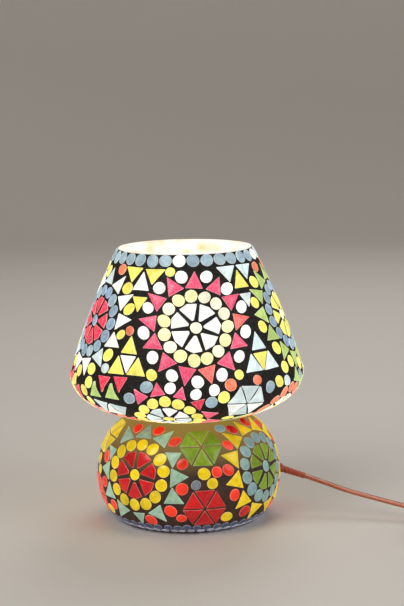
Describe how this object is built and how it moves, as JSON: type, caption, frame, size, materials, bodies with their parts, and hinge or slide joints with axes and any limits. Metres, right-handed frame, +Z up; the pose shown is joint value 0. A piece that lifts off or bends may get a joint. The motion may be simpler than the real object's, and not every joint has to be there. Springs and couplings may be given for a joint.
{
  "type": "mosaic glass table lamp",
  "caption": "Table lamp of two blown glasses, an open shade over a rounded base, coated in coloured glass mosaic, with a bulb in a clamped lampholder and a flat cord, switch and plug.",
  "frame": {"origin": "centre of the flat glass foot, on the surface that the lamp stands on", "axes": "+Z up along the vessel axis; the cord leaves near +X; -Y is the front"},
  "size_m": [0.3586, 0.2037, 0.2],
  "materials": {
    "clear_glass": "blown clear glass, lightly frosted inside",
    "shade_tiles": "hand-cut coloured glass tiles in black grout, lit from inside",
    "base_tiles": "hand-cut coloured glass tiles in dark brown grout, lit from inside",
    "rubber": "soft gasket rubber",
    "zinc_steel": "zinc-plated pressed steel",
    "screw_steel": "zinc-plated screws",
    "white_plastic": "moulded thermoset",
    "porcelain": "glazed porcelain insulator",
    "brass": "bright brass",
    "core_brown": "core insulation",
    "core_blue": "core insulation",
    "solder": "solder dot",
    "black_glass": "fused black cap glass",
    "nickel": "nickel-plated bulb cap",
    "bulb_glass": "frosted bulb glass",
    "filament": "glowing tungsten",
    "strain_relief": "soft salmon PVC boot",
    "cord_pvc": "clear PVC flat twin cord over copper strands",
    "tie_black": "coated wire tie",
    "switch_plastic": "moulded cream-white plastic",
    "rocker_plastic": "moulded plastic",
    "pin_nickel": "nickel-plated brass pins"
  },
  "bodies": {
    "lamp": {"shade_glass": "clear_glass", "base_glass": "clear_glass", "neck_washer": "rubber", "shade_mosaic": "shade_tiles", "base_mosaic": "base_tiles", "neck_gasket_upper": "rubber", "neck_gasket_lower": "rubber", "spider_plate": "zinc_steel", "clamp_yoke": "zinc_steel", "clamp_screw_left": "screw_steel", "clamp_screw_right": "screw_steel", "clamp_nut_left": "screw_steel", "clamp_nut_right": "screw_steel", "holder_shell": "white_plastic", "shade_ring": "white_plastic", "holder_cap": "white_plastic", "holder_core": "porcelain", "socket_thread": "brass", "centre_contact": "brass", "terminal_live": "brass", "terminal_neutral": "brass", "terminal_screw_live": "screw_steel", "terminal_screw_neutral": "screw_steel", "core_live": "core_brown", "core_neutral": "core_blue", "cord_grip": "white_plastic", "strain_relief": "strain_relief", "inner_cord": "cord_pvc", "cord_run": "cord_pvc", "cord_coil": "cord_pvc", "coil_tie": "tie_black", "cord_tail": "cord_pvc", "cord_lead": "cord_pvc", "switch_base": "switch_plastic", "switch_cover": "switch_plastic", "rocker_pin": "screw_steel", "switch_screw_front": "screw_steel", "switch_screw_back": "screw_steel", "switch_contact": "brass", "switch_leaf": "brass", "plug_body": "switch_plastic", "plug_pin_left": "pin_nickel", "plug_pin_right": "pin_nickel"},
    "bulb": {"bulb_contact": "solder", "bulb_insulator": "black_glass", "bulb_cap": "nickel", "bulb_glass": "bulb_glass", "bulb_stem": "bulb_glass", "bulb_wire_left": "nickel", "bulb_wire_right": "nickel", "bulb_filament": "filament"},
    "rocker": {"switch_rocker": "rocker_plastic"}
  },
  "joints": [
    {"name": "bulb_slide", "type": "slide", "parent": "lamp", "child": "bulb", "axis": [0, 0, 1], "range_m": [0, 0.135]},
    {"name": "rocker_hinge", "type": "hinge", "parent": "lamp", "child": "rocker", "pos_m": [0.261, 0, 0.011], "axis": [1, 0, 0], "range_deg": [0, 20]}
  ]
}
